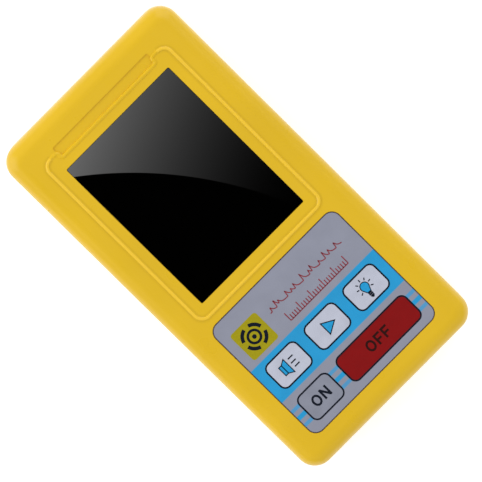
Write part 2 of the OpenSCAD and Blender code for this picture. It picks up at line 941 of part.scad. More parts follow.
// Spring clips that hang under the board and grip the end caps
module tube_clips() {
    clip_l = cap_l - 2;
    outer_d = cap_d + 2 * (rest_gap + clip_t);
    rise = board_low_h - tube_h;
    color("silver")
        for (end = [-1, 1])
            translate([tube_x, end * cap_y + clip_l / 2, tube_h])
                rotate([90, 0, 0])
                    linear_extrude(clip_l) {
                        difference() {
                            circle(d = outer_d);
                            circle(d = cap_d + 2 * rest_gap);
                            translate([0, -outer_d])
                                square([cap_d * 0.7, 2 * outer_d - cap_d * 0.6], center = true);
                        }
                        translate([-1.2, outer_d / 2 - clip_t / 2])
                            square([2.4, rise - outer_d / 2 + clip_t / 2]);
                    }
}

// ---------- battery bay ----------

function cell_x(i) = (i - (cell_count - 1) / 2) * (cell_d + cell_gap);
// Cells lie head to tail: even ones have their button at the display end
module at_cell(i) {
    middle_y = (bay_low_y + bay_high_y) / 2;
    translate([cell_x(i), middle_y, cell_h])
        mirror([0, i % 2, 0])
            children();
}

module battery_cells() {
    body_l = cell_l - button_h;
    color("dimgray")
        for (i = [0 : cell_count - 1])
            at_cell(i)
                translate([0, bay_l / 2 - contact_t, 0])
                    rotate([90, 0, 0]) {
                        cylinder(d = button_d, h = cell_l - bite);
                        translate([0, 0, button_h])
                            cylinder(d = cell_d, h = body_l);
                    }
}

// Riser of a contact plate from the bay to the board, with a clearance round it
module contact_riser(end, gap) {
    x = end == 1 ? cell_x(cell_count - 1) : cell_x(0);
    y = end == 1 ? bay_high_y - contact_t : bay_low_y;
    translate([x - contact_tab_w / 2 - gap, y - gap, cell_h])
        cube([contact_tab_w + 2 * gap, contact_t + 2 * gap, board_low_h - cell_h]);
}

module battery_contacts() {
    bridge_w = cell_d + cell_gap + contact_w;
    color("silver")
        for (end = [0, 1]) {
            y = end == 1 ? bay_high_y - contact_t : bay_low_y;
            first = end == 1 ? 0 : 1;
            lone_x = end == 1 ? cell_x(cell_count - 1) : cell_x(0);
            translate([cell_x(first) - contact_w / 2, y, cell_h - contact_h / 2])
                cube([bridge_w, contact_t, contact_h]);
            translate([lone_x - contact_w / 2, y, cell_h - contact_h / 2])
                cube([contact_w, contact_t, contact_h]);
            contact_riser(end, 0);
        }
}

// Conical helix swept by a ring of wire_sides points
wire_sides = 6;
steps_per_turn = 14;
spring_steps = spring_turns * steps_per_turn;
spring_rise = spring_l - spring_wire - 2 * rest_gap;
function helix_r(t) = spring_wide_r + (spring_narrow_r - spring_wide_r) * t;
function helix_ring(t) = [for (k = [0 : wire_sides - 1])
    let (a = 360 * spring_turns * t,
         u = 360 * k / wire_sides,
         r = helix_r(t) + spring_wire / 2 * cos(u))
    [r * cos(a), r * sin(a), spring_rise * t + spring_wire / 2 * sin(u)]];

module spring() {
    rings = [for (i = [0 : spring_steps]) each helix_ring(i / spring_steps)];
    last = spring_steps * wire_sides;
    sides = [for (i = [0 : spring_steps - 1], k = [0 : wire_sides - 1])
        let (a = i * wire_sides + k, b = i * wire_sides + (k + 1) % wire_sides)
        each [[a, b, b + wire_sides], [a, b + wire_sides, a + wire_sides]]];
    caps = [[for (k = [wire_sides - 1 : -1 : 0]) k], [for (k = [0 : wire_sides - 1]) last + k]];
    polyhedron(points = rings, faces = concat(sides, caps));
}

module battery_springs() {
    color("silver")
        for (i = [0 : cell_count - 1])
            at_cell(i)
                translate([0, -bay_l / 2 + contact_t + rest_gap + spring_wire / 2, 0])
                    rotate([-90, 0, 0])
                        spring();
}

front_shell();
rear_shell();
display_window();
window_tape();
lcd_frame();
lcd_glass();
backlight_panel();
lcd_pins();
keypad_overlay();
keycap(KEYS[0], "whitesmoke");  // key_sound
keycap(KEYS[1], "whitesmoke");  // key_play
keycap(KEYS[2], "whitesmoke");  // key_light
keycap(KEYS[3], "lightslategray");  // key_on
keycap(KEYS[4], "firebrick");  // key_off
plunger(KEYS[0]);  // plunger_sound
plunger(KEYS[1]);  // plunger_play
plunger(KEYS[2]);  // plunger_light
plunger(KEYS[3]);  // plunger_on
plunger(KEYS[4]);  // plunger_off
switch_bodies();
main_board();
microcontroller();
crystal();
hv_transformer();
hv_capacitors();
buzzer();
counting_tube();
tube_end_caps();
tube_clips();
battery_cells();
battery_contacts();
battery_springs();
battery_door();
case_screws();
board_screws();
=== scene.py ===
"""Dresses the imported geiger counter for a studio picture.

The housing, window, keys and everything inside keep the shapes that the frame brings. This script
adds the printing on the keypad, the finish of every surface, the room and the camera. Lengths are
in metres, in the frame of the part, where no other unit is named.
"""

import math

import bmesh
import bpy
import numpy as np
from bpy.props import FloatProperty, FloatVectorProperty, PointerProperty
from mathutils import Matrix, Vector
from mathutils.bvhtree import BVHTree


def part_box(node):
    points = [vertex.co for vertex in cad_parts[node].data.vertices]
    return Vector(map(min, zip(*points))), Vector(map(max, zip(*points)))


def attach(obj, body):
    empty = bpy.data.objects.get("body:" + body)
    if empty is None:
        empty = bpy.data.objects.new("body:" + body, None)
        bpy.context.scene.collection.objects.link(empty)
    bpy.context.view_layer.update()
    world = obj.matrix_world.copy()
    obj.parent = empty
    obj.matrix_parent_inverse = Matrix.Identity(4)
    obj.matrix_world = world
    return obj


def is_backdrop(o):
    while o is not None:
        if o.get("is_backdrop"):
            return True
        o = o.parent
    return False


bl_info = {
    "name": "Geiger counter dressing",
    "version": (1, 0, 0),
    "blender": (4, 5, 0),
    "location": "View3D > Sidebar > Counter",
    "description": "Prints the keypad, finishes every surface and sets the studio",
    "category": "Object",
}

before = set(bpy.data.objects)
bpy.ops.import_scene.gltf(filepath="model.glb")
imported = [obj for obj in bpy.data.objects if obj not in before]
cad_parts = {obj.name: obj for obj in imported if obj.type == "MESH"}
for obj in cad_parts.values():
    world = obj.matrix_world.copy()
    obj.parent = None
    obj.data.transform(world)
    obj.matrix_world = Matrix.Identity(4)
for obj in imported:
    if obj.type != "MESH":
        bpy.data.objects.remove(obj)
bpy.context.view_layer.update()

MM = 0.001
PHOTO_W = 482
PHOTO_H = 482
PHOTO_LONG = max(PHOTO_W, PHOTO_H)
KEYS = ("sound", "play", "light", "on", "off")

# Circle inside which the window mirrors nothing, in millimetres right of the window's middle and
# below its upper edge
GLARE_MIDDLE = (-97.2, 102.6, 0.0)
GLARE_RADIUS = 125.0

# Where things show in the photograph. None stands for a coordinate that a point doesn't fix
POINTS = {
    "object_left": (5.7, None),
    "object_right": (469.0, None),
    "object_top": (None, 5.7),
    "object_bottom": (None, 467.0),
    "window_left": (66.8, 170.2),
    "window_top": (168.7, 66.8),
    "window_right": (303.5, 200.3),
    "window_bottom": (202.4, 302.2),
    "overlay": (322.7, 321.1),
    "mark_square": (254.4, 336.5),
    "trace_print": (305.7, 277.8),
    "scale_print": (316.2, 288.2),
    "speaker_symbol": (289.2, 365.1),
    "start_symbol": (327.4, 327.0),
    "lamp_symbol": (365.0, 287.1),
    "on_lettering": (322.0, 395.2),
    "off_lettering": (377.3, 337.6),
}


def linear(hex_colour):
    """Turns an sRGB hex value such as D9B12C into the linear red, green and blue of a shader."""
    parts = np.array([int(hex_colour[i : i + 2], 16) for i in (0, 2, 4)]) / 255
    return tuple(np.where(parts <= 0.04045, parts / 12.92, ((parts + 0.055) / 1.055) ** 2.4))


# ---------- sizes and colours that a user would change ----------


class CounterView(bpy.types.PropertyGroup):
    """Where the camera stands: it looks down on the face with a long lens."""

    lens: FloatProperty(name="Lens", description="Focal length", default=300, unit="CAMERA")
    distance: FloatProperty(
        name="Distance", description="From the camera to the face", default=1.2150, unit="LENGTH"
    )
    aim_x: FloatProperty(
        name="Aim across", description="Aimed point, right of the middle", default=-0.00004,
        unit="LENGTH",
    )
    aim_y: FloatProperty(
        name="Aim along", description="Aimed point, towards the display end", default=-0.00121,
        unit="LENGTH",
    )
    lean_x: FloatProperty(
        name="Lean across", description="Lean of the line of sight to the right",
        default=math.radians(-1.84), subtype="ANGLE",
    )
    lean_y: FloatProperty(
        name="Lean along", description="Lean of the line of sight to the display end",
        default=math.radians(-3.89), subtype="ANGLE",
    )
    roll: FloatProperty(
        name="Roll", description="Turn of the camera about its line of sight",
        default=math.radians(-45.36), subtype="ANGLE",
    )


class CounterStudio(bpy.types.PropertyGroup):
    """Strengths of the studio's light."""

    fill: FloatProperty(name="Fill", description="Even light from all round", default=0.8)
    left: FloatProperty(
        name="Left", description="Lamp off the left side, near the display end", default=2.35,
        unit="POWER",
    )
    right: FloatProperty(
        name="Right", description="Lamp off the right side, near the display end", default=1.8,
        unit="POWER",
    )
    end: FloatProperty(
        name="End", description="Lamp off the keypad end", default=0.1, unit="POWER"
    )
    bounce: FloatProperty(
        name="Bounce", description="Light that the floor throws back at the object", default=0.65
    )
    walls: FloatProperty(
        name="Walls", description="Brightness of the low part of what mirrors see", default=0.35
    )
    flag: FloatProperty(
        name="Flag", description="Brightness of the dark cloth overhead", default=0.02
    )
    glare: FloatProperty(
        name="Glare", description="Brightness of the card that the window mirrors", default=3.4
    )
    floor: FloatVectorProperty(
        name="Floor", description="Colour of the floor", subtype="COLOR", default=linear("F2F2F2")
    )


class CounterPrints(bpy.types.PropertyGroup):
    """Sizes of what is printed on the keypad."""

    ink: FloatProperty(
        name="Ink", description="Thickness of one layer of ink", default=0.02 * MM, unit="LENGTH"
    )
    outline: FloatProperty(
        name="Outline", description="Width of the line round a key", default=0.42 * MM,
        unit="LENGTH",
    )
    # Width of the painted shade along the film's edge, a dark line that stands for the gap round
    # the film
    gap_shade_line: FloatProperty(
        name="Edge line", description="Width of the line along the film's edge",
        default=0.22 * MM, unit="LENGTH",
    )
    band: FloatProperty(
        name="Band", description="Width of the blue band", default=13.4 * MM, unit="LENGTH"
    )
    stripe_pitch: FloatProperty(
        name="Stripe pitch", description="From one stripe to the next", default=2.8 * MM,
        unit="LENGTH",
    )
    square: FloatProperty(
        name="Square", description="Side of the yellow square", default=10.7 * MM, unit="LENGTH"
    )
    letter: FloatProperty(
        name="Letters", description="Height of ON and OFF", default=3.6 * MM, unit="LENGTH"
    )
    stroke: FloatProperty(
        name="Letter stroke", description="Width of the letters' strokes", default=0.68 * MM,
        unit="LENGTH",
    )


class CounterColours(bpy.types.PropertyGroup):
    """Colours of the finishes that show."""

    case: FloatVectorProperty(
        name="Case", description="Moulded housing", subtype="COLOR", default=linear("E7BC14")
    )
    overlay: FloatVectorProperty(
        name="Overlay", description="Keypad film", subtype="COLOR", default=linear("9295A5")
    )
    white_key: FloatVectorProperty(
        name="White keys", description="Upper row of keys", subtype="COLOR",
        default=linear("C0C4D4"),
    )
    grey_key: FloatVectorProperty(
        name="ON key", description="Grey key", subtype="COLOR", default=linear("8C909F")
    )
    red_key: FloatVectorProperty(
        name="OFF key", description="Red key", subtype="COLOR", default=linear("8C0204")
    )
    blue: FloatVectorProperty(
        name="Blue ink", description="Band, stripes and symbols", subtype="COLOR",
        default=linear("1E9DD7"),
    )
    dark: FloatVectorProperty(
        name="Dark ink", description="Outlines, symbols and ON", subtype="COLOR",
        default=linear("121A2A"),
    )
    red: FloatVectorProperty(
        name="Red ink", description="Trace and scale", subtype="COLOR", default=linear("8C3A44")
    )
    yellow: FloatVectorProperty(
        name="Yellow ink", description="Square", subtype="COLOR", default=linear("A59A00")
    )


# ---------- node and mesh helpers ----------


def add_node(tree, kind, inputs=None, **settings):
    """Adds a shader node. Settings are its own values, and inputs are values or links by socket."""
    node = tree.nodes.new("ShaderNode" + kind)
    for name, value in settings.items():
        setattr(node, name, value)
    for name, value in (inputs or {}).items():
        if isinstance(value, bpy.types.NodeSocket):
            tree.links.new(value, node.inputs[name])
        else:
            node.inputs[name].default_value = value
    return node


def calculate(tree, operation, first, second=0.0):
    """The number that an operation makes of one or two others."""
    return add_node(tree, "Math", {0: first, 1: second}, operation=operation).outputs[0]


def calculate_vector(tree, operation, first, second=(0, 0, 0)):
    """What an operation makes of one or two vectors: a vector, or a number where it measures."""
    node = add_node(tree, "VectorMath", {0: first, 1: second}, operation=operation)
    measures = operation in ("DISTANCE", "DOT_PRODUCT", "LENGTH")
    return node.outputs["Value" if measures else "Vector"]


def part_of(tree, vector, axis):
    """One coordinate of a vector, by its letter."""
    return add_node(tree, "SeparateXYZ", {0: vector}).outputs[axis]


def ramp(tree, value, low, high, at_low, at_high, **settings):
    """A number that goes from at_low to at_high while a value goes from low to high."""
    return add_node(
        tree, "MapRange",
        {"Value": value, "From Min": low, "From Max": high, "To Min": at_low, "To Max": at_high},
        **settings,
    ).outputs["Result"]


def start_finish(name, colour, roughness, **sockets):
    """A material with a Principled shader: returns it, its tree, its shader and the object's own
    coordinates, which every pattern hangs on."""
    material = bpy.data.materials.new(name)
    material.use_nodes = True
    tree = material.node_tree
    shader = tree.nodes["Principled BSDF"]
    shader.inputs["Base Color"].default_value = (*colour, 1)
    shader.inputs["Roughness"].default_value = roughness
    for socket, value in sockets.items():
        shader.inputs[socket.replace("_", " ")].default_value = value
    return material, tree, shader, add_node(tree, "TexCoord").outputs["Object"]


def start_light(name):
    """A material that only gives light: returns it, its tree and its Emission shader."""
    material = bpy.data.materials.new(name)
    material.use_nodes = True
    tree = material.node_tree
    tree.nodes.clear()
    light = add_node(tree, "Emission")
    add_node(tree, "OutputMaterial", {"Surface": light.outputs["Emission"]})
    return material, tree, light


def drift(tree, place, size, low, high):
    """A cloudy number between two limits, whose clouds are about size across."""
    clouds = add_node(tree, "TexNoise", {"Vector": place, "Scale": 1 / size, "Detail": 2.0})
    return ramp(tree, clouds.outputs["Fac"], 0.3, 0.7, low, high)


def blend_colours(tree, factor, first, second):
    """Colour between two others, by a factor from 0 to 1."""
    mix = add_node(tree, "Mix", {0: factor}, data_type="RGBA")
    for socket, colour in ((6, first), (7, second)):
        if isinstance(colour, bpy.types.NodeSocket):
            tree.links.new(colour, mix.inputs[socket])
        else:
            mix.inputs[socket].default_value = (*colour, 1)
    return mix.outputs[2]


def shade(colour, share):
    """The same hue, lighter above 1 and darker below."""
    return tuple(min(part * share, 1) for part in colour)


def mottle(tree, shader, place, size, dark, light):
    """Gives a shader a colour that drifts between two others, in clouds of about a size."""
    colour = blend_colours(tree, drift(tree, place, size, 0, 1), dark, light)
    tree.links.new(colour, shader.inputs["Base Color"])


def strip_mask(tree, coordinate, middle, width, soft):
    """1 within half a width of a place along a coordinate, and 0 beyond, over a soft edge."""
    away = calculate(tree, "ABSOLUTE", calculate(tree, "SUBTRACT", coordinate, middle))
    return ramp(tree, away, width / 2 - soft, width / 2 + soft, 1.0, 0.0)


def roughen(tree, shader, height, depth, strength=1.0):
    """Uses a height from 0 to 1 as relief, depth from its lowest to its highest point."""
    bump = add_node(tree, "Bump", {"Height": height, "Distance": depth, "Strength": strength})
    tree.links.new(bump.outputs["Normal"], shader.inputs["Normal"])


def grain(tree, shader, place, size, depth, strength, detail=2.0):
    """Relief of random grains of about a size."""
    noise = add_node(tree, "TexNoise", {"Vector": place, "Scale": 1 / size, "Detail": detail})
    roughen(tree, shader, noise.outputs["Fac"], depth, strength)


def loft(rings, closed=False):
    """Vertices and faces of the surface through rings of points: point j of ring i is joined to
    point j + 1 and to point j of the next ring. Open rows of rings get a flat cap at each end."""
    rings = np.asarray(rings, float)
    count, around = rings.shape[:2]
    index = np.arange(count * around).reshape(count, around)
    here = index if closed else index[:-1]
    there = np.roll(index, -1, 0) if closed else index[1:]
    quads = np.stack([here, np.roll(here, -1, 1), np.roll(there, -1, 1), there], -1)
    faces = quads.reshape(-1, 4).tolist()
    if not closed:
        faces += [index[0, ::-1].tolist(), index[-1].tolist()]
    return rings.reshape(-1, 3), faces


def make_piece(name, surfaces, material, body):
    """One object from several closed surfaces, with its faces turned outwards, on a body."""
    offsets = np.cumsum([0] + [len(points) for points, _ in surfaces])
    vertices = np.concatenate([points for points, _ in surfaces])
    faces = [[corner + offset for corner in face]
             for offset, (_, listed) in zip(offsets, surfaces) for face in listed]
    mesh = bpy.data.meshes.new(name)
    mesh.from_pydata(vertices, [], faces)
    work = bmesh.new()
    work.from_mesh(mesh)
    bmesh.ops.recalc_face_normals(work, faces=work.faces)
    work.to_mesh(mesh)
    work.free()
    mesh.materials.append(material)
    piece = bpy.data.objects.new(name, mesh)
    bpy.context.scene.collection.objects.link(piece)
    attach(piece, body)
    return piece


# ---------- flat shapes, as outlines and lines in the plane of the face ----------


def arc(middle, radius, start, end, steps=12):
    """Points on a circle about a middle, from one angle to another, in degrees."""
    turn = np.radians(np.linspace(start, end, steps + 1))
    return np.asarray(middle) + radius * np.stack([np.cos(turn), np.sin(turn)], 1)


def rounded_outline(width, length, radius, steps=8):
    """A rectangle with quarter circles at its corners, as a closed outline about the origin."""
    x, y = width / 2 - radius, length / 2 - radius
    corners = [((x, y), 0), ((-x, y), 90), ((-x, -y), 180), ((x, -y), 270)]
    return np.concatenate([arc(m, radius, a, a + 90, steps) for m, a in corners])


def filled(outline, low, high):
    """A thin plate: the outline carried straight up from one height to another."""
    return loft([np.column_stack([outline, np.full(len(outline), height)])
                 for height in (low, high)])


def drawn(path, width, low, high, closed=False):
    """A line of ink: a flat rectangular section carried along a path. At each point its sides
    lie along the mitre of the two stretches that meet there."""
    path = np.asarray(path, float)
    step = np.roll(path, -1, 0) - path
    if not closed:
        step[-1] = step[-2]
    step /= np.linalg.norm(step, axis=1)[:, None]
    ahead = np.stack([-step[:, 1], step[:, 0]], 1)
    behind = np.roll(ahead, 1, 0)
    if not closed:
        behind[0] = ahead[0]
    mitre = (ahead + behind) / (1 + np.sum(ahead * behind, 1))[:, None] * width / 2
    sides = [(path + mitre, low), (path - mitre, low), (path - mitre, high), (path + mitre, high)]
    rings = [np.column_stack([side, np.full(len(path), height)]) for side, height in sides]
    return loft(np.stack(rings, 1), closed)


def turned(points, angle):
    """Points turned about the origin, in degrees."""
    turn = math.radians(angle)
    matrix = np.array([[math.cos(turn), -math.sin(turn)], [math.sin(turn), math.cos(turn)]])
    return np.asarray(points) @ matrix.T


def filled_shape(outline):
    """An outline to fill, in a list of shapes to print."""
    return np.asarray(outline, float), None, True


def drawn_line(path, width, closed=False):
    """A path to draw with a pen of some width, in a list of shapes to print."""
    return np.asarray(path, float), width, closed


def print_on(name, shapes, ink, body, middle, layer=1):
    """Prints shapes, drawn in the plane of the face about the origin, as one object. The origin
    comes to lie at a place on the surface, under as many layers of ink as the print tops."""
    thickness = bpy.context.scene.counter_prints.ink
    low, high = middle[2] - thickness / 2, middle[2] + layer * thickness
    surfaces = []
    for points, width, closed in shapes:
        placed = points + np.array(middle[:2])
        if width is None:
            surfaces.append(filled(placed, low, high))
        else:
            surfaces.append(drawn(placed, width, low, high, closed))
    return make_piece(name, surfaces, ink, body)


def print_rim(name, node, inset, corner, line, ink, body):
    """Prints a line along the rim of a node's top, some way in from the node's box."""
    low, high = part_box(node)
    width, length = high.x - low.x - 2 * inset - line, high.y - low.y - 2 * inset - line
    path = rounded_outline(width, length, corner - line / 2)
    middle = middle_of(node)
    print_on(name, [drawn_line(path, line, True)], ink, body, (middle.x, middle.y, high.z))


def count_trace(length, height):
    """A level line with pulses on it, as a counter shows them. Each is a steep S-shaped rise,
    1 / (1 + e^(-x / steep)), times a slower fall, e^(-x / slow), x on from its own start."""
    steep, slow = 0.05 * MM, 0.55 * MM
    across = np.linspace(0, length, 400)
    starts = np.array([0.03, 0.1, 0.14, 0.25, 0.31, 0.36, 0.47, 0.56, 0.6, 0.7, 0.78, 0.84, 0.93])
    tops = np.array([0.6, 1, 0.5, 0.8, 0.45, 0.7, 1, 0.55, 0.85, 0.5, 0.95, 0.6, 0.75])
    since = across[:, None] - starts * length
    rise = 1 / (1 + np.exp(-since / steep))
    fall = np.exp(-np.clip(since, 0, None) / slow)
    up = np.sum(tops * rise * fall, 1) * height
    return np.column_stack([across - length / 2, np.clip(up, 0, height) - height / 2])


def scale_ticks(length, height):
    """Upright ticks in even steps, every fifth of full height, on a base line."""
    count, every, short = 26, 5, 0.55
    places = np.linspace(-length / 2, length / 2, count)
    tall = np.where(np.arange(count) % every == 0, 1.0, short) * height
    ticks = [[(x, -height / 2), (x, top - height / 2)] for x, top in zip(places, tall)]
    return ticks + [[(-length / 2, -height / 2), (length / 2, -height / 2)]]


def speaker_shapes():
    """Lines and fills of a loudspeaker: a magnet, a cone and three dashes of sound."""
    magnet = np.array([(-2.95, 1.6), (-1.85, 1.6), (-1.85, -1.6), (-2.95, -1.6)]) * MM
    cone = np.array([(-1.85, 1.6), (-0.15, 2.6), (-0.15, -2.6), (-1.85, -1.6)]) * MM
    dashes = [((0.95, 1.55), (2.95, 1.55)), ((0.75, 0), (2.75, 0)), ((0.95, -1.5), (2.95, -1.5))]
    pen, dash_pen = 0.3 * MM, 0.4 * MM
    lines = [drawn_line(magnet, pen, True), drawn_line(cone, pen, True)]
    lines += [drawn_line(np.array(dash) * MM, dash_pen) for dash in dashes]
    return lines, [filled_shape(magnet), filled_shape(cone)]


def start_shapes():
    """Lines and fills of a triangle that points right."""
    triangle = np.array([(-1.95, 2.2), (1.95, 0), (-1.95, -2.2)]) * MM
    return [drawn_line(triangle, 0.32 * MM, True)], [filled_shape(triangle)]


def lamp_shapes():
    """Lines and fills of a light bulb: a globe that narrows to its cap, seven rays, three turns
    of the cap's thread and its tip."""
    pen, ray_pen, thread_pen = 0.28 * MM, 0.34 * MM, 0.54 * MM
    centre = np.array((0, 0.75)) * MM
    neck = np.array([(0.62, -1.3), (-0.62, -1.3)]) * MM
    globe = np.concatenate([neck[:1], arc(centre, 1.45 * MM, -35, 215, 30), neck[1:]])
    ray = np.array([(1.95, 0), (2.8, 0)]) * MM
    lines = [drawn_line(globe, pen, True)]
    lines += [drawn_line(turned(ray, angle) + centre, ray_pen)
              for angle in (90, 50, 130, 11, 169, -29, 209)]
    for height, half in ((-1.55, 0.7), (-2.15, 0.7), (-2.75, 0.62)):
        lines.append(drawn_line(np.array([(-half, height), (half, height)]) * MM, thread_pen))
    lines.append(filled_shape(arc(np.array((0, -3.0)) * MM, 0.42 * MM, 180, 360)))
    return lines, [filled_shape(globe)]


def letter_shapes(letter, height, pen):
    """Width of a block letter, and its shapes about its own middle."""
    top = height / 2
    if letter == "O":
        half = 0.43 * height
        ring = arc((0, 0), 1, 0, 360, 40)[:-1] * (half - pen / 2, top + 0.05 * MM - pen / 2)
        return 2 * half, [drawn_line(ring, pen, True)]
    if letter == "N":
        half, slant = 0.39 * height, 1.9 * pen
        near = half - pen
        outline = [(-half, -top), (-near, -top), (-near, top - slant), (near, -top),
                   (half, -top), (half, top), (near, top), (near, slant - top),
                   (-near, top), (-half, top)]
        return 2 * half, [filled_shape(outline)]
    half, bar = 0.33 * height, 0.05 * height
    outline = [(-half, -top), (pen - half, -top), (pen - half, bar - pen), (0.75 * half, bar - pen),
               (0.75 * half, bar), (pen - half, bar), (pen - half, top - pen), (half, top - pen),
               (half, top), (-half, top)]
    return 2 * half, [filled_shape(outline)]


def lettering(word):
    """Block letters in a row about the origin."""
    prints = bpy.context.scene.counter_prints
    drawn_letters = [letter_shapes(letter, prints.letter, prints.stroke) for letter in word]
    gap = 0.62 * MM
    length = sum(width for width, _ in drawn_letters) + gap * (len(word) - 1)
    shapes = []
    left = -length / 2
    for width, parts in drawn_letters:
        shift = np.array((left + width / 2, 0))
        shapes += [(points + shift, pen, closed) for points, pen, closed in parts]
        left += width + gap
    return shapes


# ---------- camera and image points ----------


def camera_axes():
    """Right, up and forward of the camera. Forward leans a little from straight down, and the
    other two turn about it by the roll."""
    view = bpy.context.scene.counter_view
    lean = (math.sin(view.lean_x), math.sin(view.lean_y))
    forward = Vector((*lean, -math.sqrt(1 - lean[0] ** 2 - lean[1] ** 2)))
    level = forward.cross(Vector((0, 1, 0))).normalized()
    upright = level.cross(forward)
    turn, lift = math.cos(view.roll), math.sin(view.roll)
    return turn * level + lift * upright, turn * upright - lift * level, forward


def camera_place():
    """The camera stands its distance back from the aimed point on the face."""
    view = bpy.context.scene.counter_view
    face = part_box("display_window")[1].z
    return Vector((view.aim_x, view.aim_y, face)) - camera_axes()[2] * view.distance


def spot(name, node):
    """Where the ray through a point of the photograph meets a CAD node. A ray that misses it
    takes the place on it that lies nearest."""
    camera = bpy.context.scene.camera
    lens = camera.data
    x, y = POINTS[name]
    axes = Vector((
        x - PHOTO_W / 2 + lens.shift_x * PHOTO_LONG,
        PHOTO_H / 2 - y + lens.shift_y * PHOTO_LONG,
        -PHOTO_LONG * lens.lens / lens.sensor_width,
    ))
    turn = camera.matrix_world.to_3x3()
    ray = (turn @ axes).normalized()
    start = camera.matrix_world.translation
    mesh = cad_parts[node].data
    tree = BVHTree.FromPolygons(
        [vertex.co for vertex in mesh.vertices], [face.vertices for face in mesh.polygons]
    )
    hit = tree.ray_cast(start, ray)[0]
    if hit is not None:
        return hit
    reach = np.linspace(0, 2, 400) * (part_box(node)[1] - start).length
    nearest = min((tree.find_nearest(start + ray * far) for far in reach), key=lambda near: near[3])
    return nearest[0]


def origin_for(name, node, shapes):
    """Where the origin of flat shapes goes, so that the middle of what shows of them, halfway
    along the camera's right and up, lies on their point of the photograph."""
    right, up, _ = camera_axes()
    axes = np.array([right[:2], up[:2]])
    reach = np.concatenate([
        points @ axes.T + side * (width or 0) / 2
        for points, width, _ in shapes for side in (-1, 1)
    ])
    middle = np.linalg.solve(axes, (reach.min(0) + reach.max(0)) / 2)
    return spot(name, node) - Vector((*middle, 0))


def middle_of(node):
    """Middle of a CAD node's box."""
    low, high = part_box(node)
    return (low + high) / 2


def pixels_of(*pieces):
    """Where the finished vertices of some objects show, in the photograph's pixels."""
    camera = bpy.context.scene.camera
    lens = camera.data
    graph = bpy.context.evaluated_depsgraph_get()
    found = []
    for piece in pieces:
        shown = piece.evaluated_get(graph)
        flat = np.empty(len(shown.data.vertices) * 3)
        shown.data.vertices.foreach_get("co", flat)
        world = np.array(camera.matrix_world.inverted() @ shown.matrix_world)
        found.append(flat.reshape(-1, 3) @ world[:3, :3].T + world[:3, 3])
    seen = np.concatenate(found)
    scale = PHOTO_LONG * lens.lens / lens.sensor_width
    return np.stack([
        PHOTO_W / 2 - scale * seen[:, 0] / seen[:, 2] - lens.shift_x * PHOTO_LONG,
        PHOTO_H / 2 + scale * seen[:, 1] / seen[:, 2] + lens.shift_y * PHOTO_LONG,
    ], 1)


def write_points():
    """Works out where each named thing shows, in the photograph's pixels: the outermost points of
    the object and of the window, and the middle of each other thing's span.
    """
    shown = [o for o in bpy.context.scene.objects
             if o.type == "MESH" and not o.hide_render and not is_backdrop(o)]
    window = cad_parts["display_window"]
    places = {}
    for thing, seen in (("object", pixels_of(*shown)), ("window", pixels_of(window))):
        places[f"{thing}_left"] = seen[seen[:, 0].argmin()]
        places[f"{thing}_right"] = seen[seen[:, 0].argmax()]
        places[f"{thing}_top"] = seen[seen[:, 1].argmin()]
        places[f"{thing}_bottom"] = seen[seen[:, 1].argmax()]
    for name in POINTS:
        if name not in places:
            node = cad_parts["keypad_overlay"] if name == "overlay" else None
            seen = pixels_of(node or bpy.data.objects[name])
            places[name] = (seen.min(0) + seen.max(0)) / 2


# ---------- finishes ----------


def bead_masks(tree, place):
    """Two masks: 1 along the crest of the raised bead round the display, and 1 along its crest
    and foot. The bead's middle is the rounded rectangle whose distance is
    |max(q, 0)| + min(max(qx, qy), 0) - r, with q the distance outside the rectangle shrunk by its
    corner radius r. Its run past the sunk bar is left out."""
    low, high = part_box("display_window")
    # How far the bead's middle lies outside the window, and how far its upper run goes on from
    # each side before the bar begins
    side, above, below, corner = 4.25 * MM, 5.8 * MM, 4.3 * MM, 3 * MM
    before_bar, face_depth = 3.2 * MM, 0.3 * MM
    # Width and soft edge of each mask
    crest, foot = (0.9 * MM, 0.2 * MM), (2.3 * MM, 0.3 * MM)
    middle = ((low.x + high.x) / 2, (low.y - below + high.y + above) / 2, 0)
    half = ((high.x - low.x) / 2 + side, (high.y + above - low.y + below) / 2)
    from_middle = calculate_vector(tree, "SUBTRACT", place, middle)
    away = calculate_vector(tree, "ABSOLUTE", from_middle)
    shrunk = (half[0] - corner, half[1] - corner, 1)
    q = calculate_vector(tree, "SUBTRACT", away, shrunk)
    length = calculate_vector(tree, "LENGTH", calculate_vector(tree, "MAXIMUM", q))
    nearer = calculate(tree, "MAXIMUM", part_of(tree, q, "X"), part_of(tree, q, "Y"))
    distance = calculate(tree, "ADD", length, calculate(tree, "MINIMUM", nearer))
    below_bar = calculate(tree, "LESS_THAN", part_of(tree, from_middle, "Y"), half[1] - corner)
    beside_bar = calculate(tree, "GREATER_THAN", part_of(tree, away, "X"), half[0] - before_bar)
    clear = calculate(tree, "MAXIMUM", below_bar, beside_bar)
    height = part_of(tree, from_middle, "Z")
    on_face = calculate(tree, "GREATER_THAN", height, high.z - face_depth)
    kept = calculate(tree, "MULTIPLY", clear, on_face)
    return [
        calculate(tree, "MULTIPLY", strip_mask(tree, distance, corner, width, soft), kept)
        for width, soft in (crest, foot)
    ]


